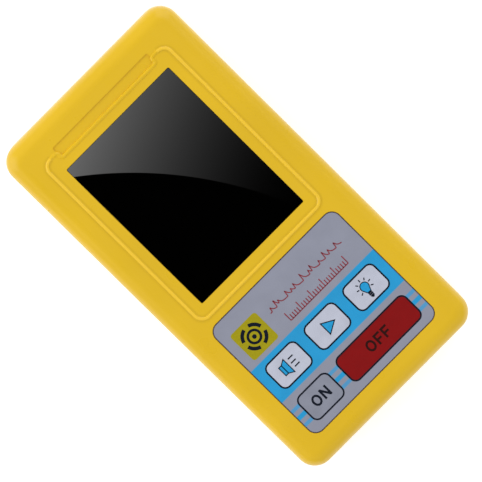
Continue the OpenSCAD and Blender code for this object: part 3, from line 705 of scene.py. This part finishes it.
def moulded_case_abs():
    """ABS, injection moulded in a spark-eroded tool: an even satin skin, a faint drift of colour
    where the melt flowed and a fine pebble that breaks up the highlights. The crest of the raised
    bead is smoother and painted paler, a painted highlight, and along its foot the colour is
    painted darker, a painted shade."""
    colour = bpy.context.scene.counter_colours.case
    # Tone of the painted shade at the bead's foot, gain and lift of the painted highlight on its
    # crest, and the crest's roughness
    foot_shade_tone, highlight_gain, highlight_lift, polish = 0.93, 1.13, 0.03, 0.2
    material, tree, shader, place = start_finish(
        "moulded_case_abs", colour, 0.3, IOR=1.54, Specular_IOR_Level=0.4
    )
    flow = drift(tree, place, 28 * MM, 0, 1)
    skin = blend_colours(tree, flow, shade(colour, 0.97), shade(colour, 1.03))
    # Masks along the bead's crest, for a painted highlight, and along its foot, for a painted shade
    crest_highlight, foot_shade = bead_masks(tree, place)
    # Paler colour of the crest: a painted highlight
    highlight_colour = tuple(min(part * highlight_gain + highlight_lift, 1) for part in colour)
    # Darker colour along the bead's foot: a painted shade
    shaded_skin = blend_colours(tree, foot_shade, skin, shade(colour, foot_shade_tone))
    tree.links.new(blend_colours(tree, crest_highlight, shaded_skin, highlight_colour), shader.inputs["Base Color"])
    satin = drift(tree, place, 9 * MM, 0.27, 0.33)
    smooth = add_node(tree, "Mix", {0: crest_highlight, 2: satin, 3: polish}, data_type="FLOAT")
    tree.links.new(smooth.outputs[0], shader.inputs["Roughness"])
    # The real pebble is about 0.1 mm across, too fine to show, so it is drawn at 0.5 mm
    grain(tree, shader, place, 0.5 * MM, 0.012 * MM, 0.6, 1.0)
    return material


def back_printed_acrylic():
    """Cast acrylic, polished and printed black on its back: a deep, wet black that mirrors the
    room, with hardly any haze from wiping."""
    material, tree, shader, place = start_finish(
        "back_printed_acrylic", linear("010101"), 0.01, IOR=1.49
    )
    tree.links.new(drift(tree, place, 12 * MM, 0.0, 0.006), shader.inputs["Roughness"])
    return material


def keypad_film():
    """Polyester film, printed grey with a blue band and three stripes behind a velvet hard coat:
    flat, cool colour almost without shine."""
    scene = bpy.context.scene
    colours, prints = scene.counter_colours, scene.counter_prints
    grey, blue = colours.overlay, colours.blue
    material, tree, shader, place = start_finish(
        "keypad_film", grey, 0.36, IOR=1.6, Specular_IOR_Level=0.25
    )
    cloud = drift(tree, place, 6 * MM, 0, 1)
    ground = blend_colours(tree, cloud, shade(grey, 0.97), shade(grey, 1.03))
    ink = blend_colours(tree, cloud, shade(blue, 0.95), shade(blue, 1.05))
    along = part_of(tree, place, "Y")
    upper, lower = middle_of("key_play").y, middle_of("key_on").y
    # Width and cover of the middle stripe and of the two pale ones beside it
    full, pale, bleed = (1.5 * MM, 1.0), (1.2 * MM, 0.75), 0.15 * MM
    strips = [(upper, prints.band, 1.0), (lower + prints.stripe_pitch, *pale), (lower, *full),
              (lower - prints.stripe_pitch, *pale)]
    for middle, width, cover in strips:
        mask = strip_mask(tree, along, middle, width, bleed)
        share = calculate(tree, "MULTIPLY", mask, cover)
        ground = blend_colours(tree, share, ground, ink)
    tree.links.new(ground, shader.inputs["Base Color"])
    # Velvet of about 0.05 mm, drawn at 0.4 mm so that it shows
    grain(tree, shader, place, 0.4 * MM, 0.01 * MM, 0.5)
    return material


def moulded_key(name, colour):
    """Polycarbonate key, moulded and coated matt: even colour with a soft bloom of light."""
    material, tree, shader, place = start_finish(
        name, colour, 0.3, IOR=1.58, Specular_IOR_Level=0.25
    )
    mottle(tree, shader, place, 4 * MM, shade(colour, 0.95), shade(colour, 1.05))
    grain(tree, shader, place, 0.4 * MM, 0.01 * MM, 0.4)
    return material


def screen_ink(name, colour, unevenness=0.08):
    """Screen-printing ink under a hard coat: flat colour that varies a little with the weave."""
    material, tree, shader, place = start_finish(
        name, colour, 0.34, IOR=1.5, Specular_IOR_Level=0.25
    )
    # The screen's threads lie about 0.1 mm apart, too fine to show, so they are drawn at 0.6 mm
    mottle(tree, shader, place, 0.6 * MM,
           shade(colour, 1 - unevenness), shade(colour, 1 + unevenness))
    return material


def plain_plastic(name, hex_colour, roughness=0.5):
    """Small moulded plastic piece: dull skin with a fine grain."""
    colour = linear(hex_colour)
    material, tree, shader, place = start_finish(name, colour, roughness)
    mottle(tree, shader, place, 2 * MM, shade(colour, 0.85), shade(colour, 1.1))
    grain(tree, shader, place, 0.3 * MM, 0.01 * MM, 0.5)
    return material


def plated_metal(name, hex_colour, roughness=0.28):
    """Plated or rolled metal: bright, with faint streaks along the rolling direction."""
    colour = linear(hex_colour)
    material, tree, shader, place = start_finish(name, colour, roughness, Metallic=1.0)
    rolling = (1, 0.08, 1)
    stretched = add_node(tree, "Mapping", {"Vector": place, "Scale": rolling}).outputs["Vector"]
    mottle(tree, shader, stretched, 0.4 * MM, shade(colour, 0.85), colour)
    tree.links.new(
        drift(tree, stretched, 0.6 * MM, roughness - 0.06, roughness + 0.1),
        shader.inputs["Roughness"],
    )
    return material


def board_laminate():
    """Glass-fibre laminate under green solder mask: glossy, with copper runs that show through
    as lighter green lines on a 2 mm grid."""
    mask = linear("1E5A34")
    material, tree, shader, place = start_finish("solder_masked_laminate", mask, 0.3)
    runs = add_node(
        tree, "TexBrick",
        {"Vector": place, "Scale": 1.0, "Mortar Size": 0.25 * MM, "Brick Width": 7 * MM,
         "Row Height": 2 * MM, "Color1": (*mask, 1), "Color2": (*linear("1B5230"), 1),
         "Mortar": (*linear("3C8A50"), 1)},
    )
    tree.links.new(runs.outputs["Color"], shader.inputs["Base Color"])
    roughen(tree, shader, runs.outputs["Fac"], 0.035 * MM, 0.6)
    return material


def wound_ferrite():
    """Ground ferrite core round a winding of enamelled copper wire: dull grey-black outside and
    a copper-brown coil with turns of 0.4 mm in the middle."""
    material, tree, shader, place = start_finish("wound_ferrite_core", linear("2B2B2D"), 0.6)
    coil_radius, wire = 3.25 * MM, 0.4 * MM
    middle = middle_of("hv_transformer")
    centred = add_node(
        tree, "Mapping", {"Vector": place, "Location": (-middle.x, -middle.y, 0)}
    ).outputs["Vector"]
    flat = calculate_vector(tree, "MULTIPLY", centred, (1, 1, 0))
    away = calculate_vector(tree, "LENGTH", flat)
    coil = ramp(tree, away, coil_radius, coil_radius + 0.05 * MM, 1.0, 0.0)
    grit = drift(tree, place, 0.5 * MM, 0, 1)
    core = blend_colours(tree, grit, linear("242426"), linear("353537"))
    tree.links.new(blend_colours(tree, coil, core, linear("8A4A26")), shader.inputs["Base Color"])
    # At a scale of 1 the bands of a wave texture lie 1 / 3.2 of a metre apart
    turns = add_node(
        tree, "TexWave", {"Vector": place, "Scale": 1 / (wire * 3.2)}, bands_direction="Z"
    )
    roughen(tree, shader, turns.outputs["Fac"], 0.1 * MM, 0.5)
    return material


def cell_jacket():
    """Steel cells in a shrunk plastic jacket: glossy grey-blue with a copper-coloured ring at the
    end that carries the button, without any print."""
    material, tree, shader, place = start_finish("shrunk_cell_jacket", linear("2C3440"), 0.3)
    ring_back, ring_width, blur = 5 * MM, 9 * MM, 0.05 * MM
    ring_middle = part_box("battery_cells")[1].y - ring_back
    along = part_of(tree, place, "Y")
    ring = strip_mask(tree, along, ring_middle, ring_width, blur)
    sheen = drift(tree, place, 3 * MM, 0, 1)
    jacket = blend_colours(tree, sheen, linear("29303C"), linear("323B49"))
    tree.links.new(blend_colours(tree, ring, jacket, linear("B37A3C")), shader.inputs["Base Color"])
    return material


FINISHED = set()


def give(material, *nodes):
    """Puts a finish on CAD nodes."""
    for node in nodes:
        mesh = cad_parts[node].data
        mesh.materials.clear()
        mesh.materials.append(material)
    FINISHED.update(nodes)


# ---------- operators, one for each piece or group of like pieces ----------


class StudioOperator(bpy.types.Operator):
    """Set the camera, the room, the floor, the lamps and what the window mirrors"""

    bl_idname = "counter.studio"
    bl_label = "Studio"

    def execute(self, context):
        scene = context.scene
        scene.view_settings.view_transform = "Standard"
        set_camera(scene)
        set_world(scene)
        lay_floor(scene)
        hang_lamps(scene)
        hang_flag(scene)
        hang_glare_card(scene)
        return {"FINISHED"}


def set_camera(scene):
    """Stands the camera where the image points put it."""
    right, up, forward = camera_axes()
    lens = bpy.data.cameras.new("photo_camera")
    lens.lens = scene.counter_view.lens
    lens.sensor_fit = "AUTO"
    lens.sensor_width = 36
    lens.clip_start = 0.01
    lens.clip_end = 20
    camera = bpy.data.objects.new("photo_camera", lens)
    turn = Matrix((right, up, -forward)).transposed().to_4x4()
    camera.matrix_world = Matrix.Translation(camera_place()) @ turn
    scene.collection.objects.link(camera)
    scene.camera = camera
    bpy.context.view_layer.update()


def background_rays(tree):
    """1 for rays that show the background itself, directly, mirrored or through glass."""
    path = add_node(tree, "LightPath").outputs
    both = calculate(tree, "MAXIMUM", path["Is Camera Ray"], path["Is Glossy Ray"])
    return calculate(tree, "MAXIMUM", both, path["Is Transmission Ray"])


def set_world(scene):
    """Even fill light, and a white background where it is seen."""
    world = bpy.data.worlds.new("studio_room")
    world.use_nodes = True
    scene.world = world
    tree = world.node_tree
    strength = add_node(
        tree, "Mix", {0: background_rays(tree), 2: scene.counter_studio.fill, 3: 1.0},
        data_type="FLOAT",
    )
    back = tree.nodes["Background"]
    back.inputs["Color"].default_value = (1, 1, 1, 1)
    tree.links.new(strength.outputs[0], back.inputs["Strength"])


def stage_sheet(name, points, material, faces=((0, 1, 2, 3),)):
    """A sheet of the studio, given by its points: flat with four corners, unless faces say else."""
    mesh = bpy.data.meshes.new(name)
    mesh.from_pydata(points, [], faces)
    mesh.materials.append(material)
    sheet = bpy.data.objects.new(name, mesh)
    bpy.context.scene.collection.objects.link(sheet)
    sheet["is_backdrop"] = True
    return sheet


def lay_floor(scene):
    """A wide floor that stays white round the object and keeps the object's shadow. From below it
    can be seen through, so that the underside shows as well. A dimmer card under it, which only
    the object's matt skin sees, gives the light that a floor throws back at its sides and back."""
    half, floor_drop, card_drop = 3.0, 0.05 * MM, 1 * MM
    white = scene.counter_studio.floor
    material, tree, shader, place = start_finish("studio_paper", white, 0.9)
    mottle(tree, shader, place, 3 * MM, shade(white, 0.98), white)
    glow = add_node(
        tree, "Emission", {"Color": (0.5, 0.5, 0.5, 1), "Strength": background_rays(tree)}
    )
    both = add_node(tree, "AddShader", {0: shader.outputs["BSDF"], 1: glow.outputs["Emission"]})
    below = add_node(tree, "NewGeometry").outputs["Backfacing"]
    clear = add_node(tree, "BsdfTransparent")
    paper = add_node(
        tree, "MixShader", {0: below, 1: both.outputs["Shader"], 2: clear.outputs["BSDF"]}
    )
    tree.links.new(paper.outputs["Shader"], tree.nodes["Material Output"].inputs["Surface"])
    square = [(-half, -half), (half, -half), (half, half), (-half, half)]
    floor = stage_sheet("floor", [(x, y, -floor_drop) for x, y in square], material)
    floor.visible_diffuse = floor.visible_shadow = False
    bounced, _, light = start_light("bounced_light")
    light.inputs["Strength"].default_value = scene.counter_studio.bounce
    card = stage_sheet("bounce_card", [(x, y, -card_drop) for x, y in square], bounced)
    card.visible_camera = card.visible_glossy = card.visible_transmission = False


def hang_lamps(scene):
    """Two soft lamps stand low off the sides near the display end, where they light the rims, and
    a weak one stands off the other end. Each faces the object."""
    studio = scene.counter_studio
    lamps = {
        "left_lamp": (studio.left, 0.75, Vector((-0.57, 0.42, 0.24))),
        "right_lamp": (studio.right, 0.75, Vector((0.57, 0.42, 0.22))),
        "end_lamp": (studio.end, 0.40, Vector((0.10, -0.66, 0.30))),
    }
    for name, (power, size, place) in lamps.items():
        light = bpy.data.lights.new(name, "AREA")
        light.energy = power
        light.size = size
        lamp = bpy.data.objects.new(name, light)
        turn = place.to_track_quat("Z", "Y").to_matrix().to_4x4()
        lamp.matrix_world = Matrix.Translation(place) @ turn
        scene.collection.objects.link(lamp)


def only_mirrored(sheet):
    """Lets only mirrors see a sheet."""
    for kind in ("camera", "diffuse", "shadow", "transmission", "volume_scatter"):
        setattr(sheet, f"visible_{kind}", False)


def hang_flag(scene):
    """A dome of cloth that only mirrors see, so that colours keep their depth: nearly black
    overhead, where the camera's rays go once flat faces have mirrored them, and grey towards its
    hem. Its point at a turn u and a rise v is radius (cos v cos u, cos v sin u, sin v)."""
    studio = scene.counter_studio
    radius, dark_within, grey_beyond = 2.0, math.radians(27), math.radians(50)
    material, tree, cloth = start_light("flag_cloth")
    eye = scene.camera.matrix_world.translation
    mirrored = Vector((-eye.x, -eye.y, eye.z)).normalized()
    place = add_node(tree, "TexCoord").outputs["Object"]
    unit = calculate_vector(tree, "NORMALIZE", place)
    near = calculate_vector(tree, "DOT_PRODUCT", unit, mirrored)
    fade = ramp(tree, near, math.cos(grey_beyond), math.cos(dark_within),
                studio.walls, studio.flag, interpolation_type="SMOOTHSTEP")
    tree.links.new(fade, cloth.inputs["Strength"])
    turn, rise = np.meshgrid(
        np.linspace(0, 2 * np.pi, 48, False), np.linspace(0, np.pi / 2, 13)[:-1]
    )
    points, faces = loft(radius * np.stack(
        [np.cos(rise) * np.cos(turn), np.cos(rise) * np.sin(turn), np.sin(rise)], -1
    ))
    # Open below, where the floor is
    faces.pop(-2)
    only_mirrored(stage_sheet("overhead_flag", points, material, faces))


def hang_glare_card(scene):
    """A card that only mirrors see. It lies where the camera's rays go once the window has
    mirrored them, so its light and its curved edge are what the window shows. At a height h over
    the window, and with the camera c over it, a point P of the window has its point of the card at
    P + (P - camera) h / c."""
    low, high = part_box("display_window")
    eye = scene.camera.matrix_world.translation
    height, spare = 1.0, 1.25
    reach = height / (eye.z - high.z)
    middle = (low + high) / 2
    half = (high - low) / 2 * spare
    window = [(middle.x + x * half.x, middle.y + y * half.y)
              for x, y in ((-1, -1), (-1, 1), (1, 1), (1, -1))]
    corners = [(x + (x - eye.x) * reach, y + (y - eye.y) * reach, high.z + height)
               for x, y in window]
    material, tree, light = start_light("glare_light")
    place = add_node(tree, "TexCoord").outputs["Object"]
    # From the card back to the window, in millimetres right of its middle and below its top
    share = 1 / (1 + reach)
    mapped = add_node(
        tree, "Mapping",
        {"Vector": place, "Scale": (share / MM, -share / MM, 0),
         "Location": ((eye.x * reach * share - middle.x) / MM,
                      (high.y - eye.y * reach * share) / MM, 0)},
    ).outputs["Vector"]
    glare = glare_strength(tree, mapped, scene.counter_studio.glare)
    tree.links.new(glare, light.inputs["Strength"])
    only_mirrored(stage_sheet("glare_card", corners, material))


def glare_strength(tree, place, brightness):
    """Light that falls off along a slanting line, as a power of the share of the way that is left
    to its end, and that is cut off inside a circle. Lengths are in millimetres."""
    slant, start, end, steepness, soft = (0.46, 1.0, 0.0), -10.0, 74.0, 3.1, 0.04
    along = calculate_vector(tree, "DOT_PRODUCT", place, slant)
    light = calculate(tree, "POWER", ramp(tree, along, start, end, 1.0, 0.0), steepness)
    away = calculate_vector(tree, "DISTANCE", place, GLARE_MIDDLE)
    outside = ramp(tree, away, GLARE_RADIUS - soft, GLARE_RADIUS + soft, 0.0, 1.0)
    cut = calculate(tree, "MULTIPLY", light, outside)
    return calculate(tree, "MULTIPLY", cut, brightness)


class CaseOperator(bpy.types.Operator):
    """Finish the two halves of the case, the battery door and the case screws"""

    bl_idname = "counter.case"
    bl_label = "Case"

    def execute(self, context):
        give(moulded_case_abs(), "front_shell", "rear_shell", "battery_door")
        give(plated_metal("black_zinc_screw", "3A3A3C", 0.35), "case_screws")
        return {"FINISHED"}


class DisplayOperator(bpy.types.Operator):
    """Finish the window and the display stack under it"""

    bl_idname = "counter.display"
    bl_label = "Display"

    def execute(self, context):
        give(back_printed_acrylic(), "display_window")
        give(plain_plastic("window_tape_foam", "151515", 0.8), "window_tape")
        give(plated_metal("tinned_sheet_steel", "C2C4C6"), "lcd_frame")
        give(plain_plastic("display_glass_panel", "26302C", 0.12), "lcd_glass")
        give(plain_plastic("light_diffuser", "E4E6E2", 0.4), "backlight_panel")
        give(plated_metal("tinned_pins", "CFCFCB", 0.3), "lcd_pins")
        return {"FINISHED"}


class KeypadOperator(bpy.types.Operator):
    """Finish the keypad film with its band and stripes, and paint shade along its edge: a dark line
    of ink that stands for the shadow in the gap round the film
    """

    bl_idname = "counter.keypad"
    bl_label = "Keypad film"

    def execute(self, context):
        give(keypad_film(), "keypad_overlay")
        film_corner = 3.2 * MM
        # A dark line of ink along the film's edge: painted shade of the narrow gap round the film
        print_rim("overlay_gap_shade", "keypad_overlay", 0, film_corner,
                  context.scene.counter_prints.gap_shade_line,
                  screen_ink("gap_shade_ink", linear("4E4652")), "case")
        return {"FINISHED"}


class FacePrintsOperator(bpy.types.Operator):
    """Print the square mark, the count trace and the scale on the keypad film"""

    bl_idname = "counter.face_prints"
    bl_label = "Film prints"

    def execute(self, context):
        scene = context.scene
        colours = scene.counter_colours
        dark = screen_ink("black_screen_ink", colours.dark)
        red = screen_ink("red_screen_ink", colours.red, 0.2)
        self.print_mark(scene, screen_ink("yellow_screen_ink", colours.yellow, 0.06), dark)
        pen, height = 0.34 * MM, 3 * MM
        trace = [drawn_line(count_trace(30.5 * MM, height), pen)]
        ticks = [drawn_line(tick, pen) for tick in scale_ticks(24.5 * MM, height)]
        for name, shapes in (("trace_print", trace), ("scale_print", ticks)):
            print_on(name, shapes, red, "case", origin_for(name, "keypad_overlay", shapes))
        return {"FINISHED"}

    def print_mark(self, scene, yellow, dark):
        """A yellow square with a sensor mark: a dot, a ring and four arcs about one middle."""
        middle = spot("mark_square", "keypad_overlay")
        side = scene.counter_prints.square
        print_on("mark_square", [filled_shape(rounded_outline(side, side, 1.0 * MM))], yellow,
                 "case", middle)
        arcs = [drawn_line(arc((0, 0), 3.7 * MM, start + 14, start + 76), 1.1 * MM)
                for start in (0, 90, 180, 270)]
        ring = drawn_line(arc((0, 0), 2.0 * MM, 0, 360, 48)[:-1], 0.8 * MM, True)
        dot = filled_shape(arc((0, 0), 0.7 * MM, 0, 360, 24)[:-1])
        print_on("sensor_mark", [*arcs, ring, dot], dark, "case", middle, 2)


class KeysOperator(bpy.types.Operator):
    """Finish the five keys and print their outlines, symbols and letters"""

    bl_idname = "counter.keys"
    bl_label = "Keys"

    def execute(self, context):
        scene = context.scene
        colours = scene.counter_colours
        white = moulded_key("white_key_plastic", colours.white_key)
        give(white, "key_sound", "key_play", "key_light")
        give(moulded_key("grey_key_plastic", colours.grey_key), "key_on")
        give(moulded_key("red_key_plastic", colours.red_key), "key_off")
        dark = screen_ink("dark_key_ink", colours.dark)
        blue = screen_ink("blue_key_ink", colours.blue)
        # Width of the flange that holds a key, and the radius of its cap's corners
        flange, cap_corner = 0.8 * MM, 2.2 * MM
        for key in KEYS:
            print_rim(f"{key}_key_outline", f"key_{key}", flange, cap_corner,
                      scene.counter_prints.outline, dark, f"{key}_key")
        self.print_symbol("speaker_symbol", "sound", dark, blue, *speaker_shapes())
        self.print_symbol("start_symbol", "play", dark, blue, *start_shapes())
        self.print_symbol("lamp_symbol", "light", dark, blue, *lamp_shapes())
        soft = screen_ink("brown_key_ink", linear("34100E"))
        for key, ink in (("on", dark), ("off", soft)):
            name, letters = f"{key}_lettering", lettering(key.upper())
            print_on(name, letters, ink, f"{key}_key", origin_for(name, f"key_{key}", letters))
        return {"FINISHED"}

    def print_symbol(self, name, key, dark, blue, lines, fills):
        """A symbol in dark lines over blue fills, at its image point on the key."""
        origin = origin_for(name, f"key_{key}", lines)
        print_on(f"{name}_fill", fills, blue, f"{key}_key", origin)
        print_on(name, lines, dark, f"{key}_key", origin, 2)


class InsidesOperator(bpy.types.Operator):
    """Finish the board, its parts, the counting tube and the batteries"""

    bl_idname = "counter.insides"
    bl_label = "Insides"

    def execute(self, context):
        give(board_laminate(), "main_board")
        give(plain_plastic("moulded_chip_epoxy", "1B1B1D", 0.55), "microcontroller")
        give(plated_metal("nickel_can", "C6C3BA", 0.25), "crystal")
        give(wound_ferrite(), "hv_transformer")
        give(plain_plastic("capacitor_sleeve_pvc", "1F2430", 0.35), "hv_capacitors")
        give(plain_plastic("buzzer_plastic", "17181A", 0.5), "buzzer")
        give(plain_plastic("switch_plastic", "1A1A1C", 0.5), "switch_bodies")
        give(plain_plastic("plunger_plastic", "2A2A2C", 0.45),
             *[f"plunger_{key}" for key in KEYS])
        give(plated_metal("drawn_steel_tube", "B9B7B0", 0.3), "counting_tube")
        give(plated_metal("turned_brass", "C9A45C", 0.25), "tube_end_caps")
        give(plated_metal("nickel_spring_strip", "C8C6C0", 0.25),
             "tube_clips", "battery_contacts", "battery_springs")
        give(cell_jacket(), "battery_cells")
        give(plated_metal("zinc_plated_screw", "C4C7CB", 0.3), "board_screws")
        unfinished = sorted(set(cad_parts) - FINISHED)
        if unfinished:
            raise RuntimeError(f"these nodes have no finish: {unfinished}")
        return {"FINISHED"}


OPERATORS = (
    StudioOperator, CaseOperator, DisplayOperator, KeypadOperator, FacePrintsOperator,
    KeysOperator, InsidesOperator,
)
GROUPS = {
    "counter_view": CounterView,
    "counter_studio": CounterStudio,
    "counter_prints": CounterPrints,
    "counter_colours": CounterColours,
}


class CounterPanel(bpy.types.Panel):
    """Lists the steps that dress the counter"""

    bl_idname = "COUNTER_PT_dressing"
    bl_label = "Geiger counter"
    bl_space_type = "VIEW_3D"
    bl_region_type = "UI"
    bl_category = "Counter"

    def draw(self, context):
        for operator in OPERATORS:
            self.layout.operator(operator.bl_idname)


def register():
    """Registers the classes and hangs the groups of sizes and colours on the scene."""
    for group in GROUPS.values():
        bpy.utils.register_class(group)
    for name, group in GROUPS.items():
        setattr(bpy.types.Scene, name, PointerProperty(type=group))
    for item in (*OPERATORS, CounterPanel):
        bpy.utils.register_class(item)


def unregister():
    """Takes back what register did, in the other order."""
    for item in (CounterPanel, *reversed(OPERATORS)):
        bpy.utils.unregister_class(item)
    for name, group in GROUPS.items():
        delattr(bpy.types.Scene, name)
        bpy.utils.unregister_class(group)


def main():
    """Dresses the counter step by step."""
    register()
    bpy.ops.counter.studio()
    bpy.ops.counter.case()
    bpy.ops.counter.display()
    bpy.ops.counter.keypad()
    bpy.ops.counter.face_prints()
    bpy.ops.counter.keys()
    bpy.ops.counter.insides()
    write_points()


if __name__ == "__main__":
    main()
